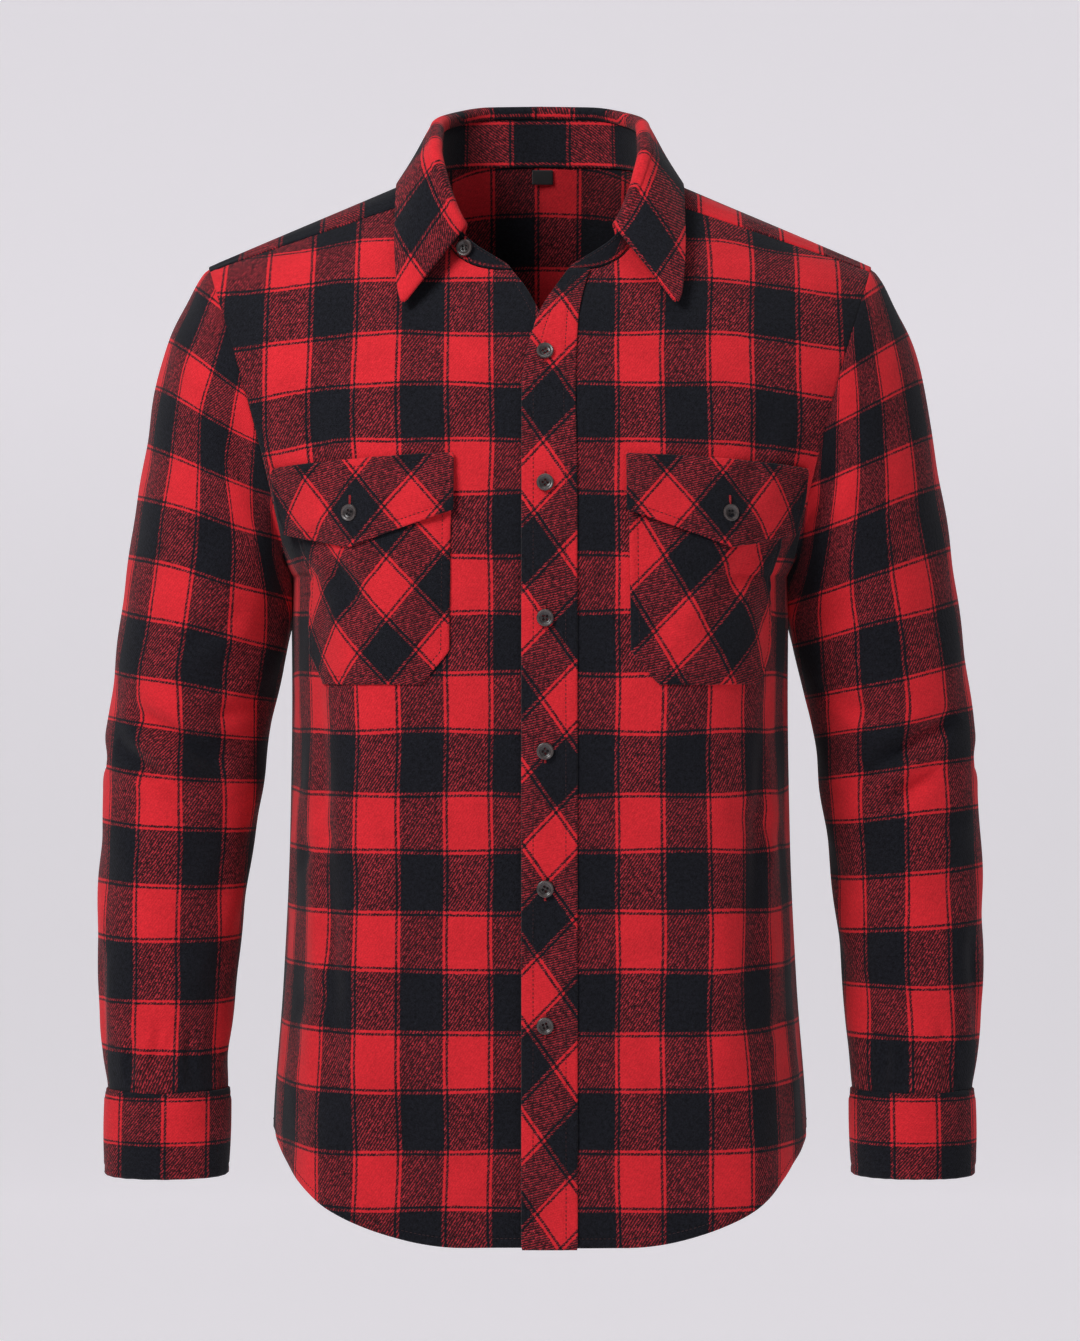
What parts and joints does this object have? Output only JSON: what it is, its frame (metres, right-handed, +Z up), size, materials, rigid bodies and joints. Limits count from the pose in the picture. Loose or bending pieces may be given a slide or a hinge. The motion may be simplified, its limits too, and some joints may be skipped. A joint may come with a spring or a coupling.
{
  "type": "flannel shirt",
  "caption": "Long-sleeved checked flannel shirt with a pointed collar, a button band and flap pockets on the chest, filled out and open at the neck, hem and cuffs.",
  "frame": {"origin": "middle of the neck hole, level with the points where the shoulders meet the neck", "axes": "+Z up, -Y the way the front faces, +X towards the wearer's left"},
  "size_m": [0.6174, 0.2813, 0.7998],
  "materials": {
    "flannel": "brushed matte woven cotton, in a red and black check",
    "flannel_bias": "the same brushed cloth, cut on the bias",
    "button": "satin dark plastic",
    "tab": "plain black woven tape",
    "thread": "sewing thread"
  },
  "bodies": {
    "root": {"front_right": "flannel", "front_left": "flannel", "back": "flannel", "yoke": "flannel", "collar_stand": "flannel", "collar": "flannel", "front_band": "flannel_bias", "pocket_right": "flannel_bias", "pocket_left": "flannel_bias", "flap_right": "flannel_bias", "flap_left": "flannel_bias", "sleeve_right": "flannel", "sleeve_left": "flannel", "sleeve_placket_right": "flannel", "sleeve_placket_left": "flannel", "cuff_right": "flannel", "cuff_left": "flannel", "size_tab": "tab", "button_collar_stand": "button", "button_flap_left": "button", "button_flap_right": "button", "button_cuff_left": "button", "button_cuff_right": "button", "button_band_1": "button", "button_band_2": "button", "button_band_3": "button", "button_band_4": "button", "button_band_5": "button", "button_band_6": "button"}
  },
  "joints": []
}
